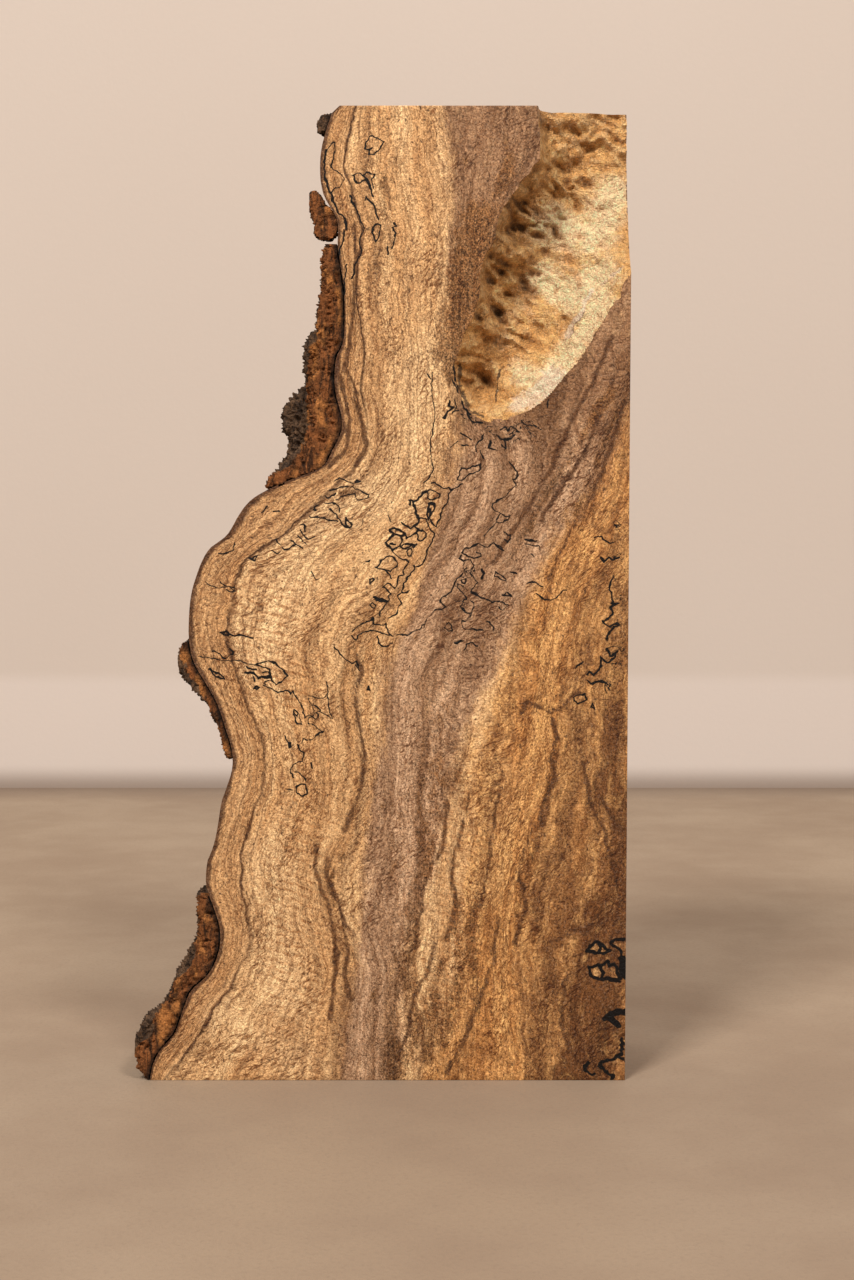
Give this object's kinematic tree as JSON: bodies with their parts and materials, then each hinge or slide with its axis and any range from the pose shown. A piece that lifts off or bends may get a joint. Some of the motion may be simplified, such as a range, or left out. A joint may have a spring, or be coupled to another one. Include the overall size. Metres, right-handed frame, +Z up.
{
  "type": "maple burl",
  "caption": "Sawn block of spalted maple burl with a natural live edge, bark plates along it and an open hollow in its upper front corner.",
  "frame": {"origin": "middle of the base, on the surface that the block stands on", "axes": "+Z up the block's length, +Y from the front face (with the hollow) to the back, +X from the live edge to the straight sawn side"},
  "size_m": [0.1533, 0.05, 0.3],
  "materials": {
    "spalted_maple": "sawn, bare",
    "maple_bark": "rough, bare"
  },
  "bodies": {
    "root": {"burl_block": "spalted_maple", "bark_upper": "maple_bark", "bark_flake": "maple_bark", "bark_middle": "maple_bark", "bark_lower": "maple_bark", "bark_top": "maple_bark"}
  },
  "joints": []
}
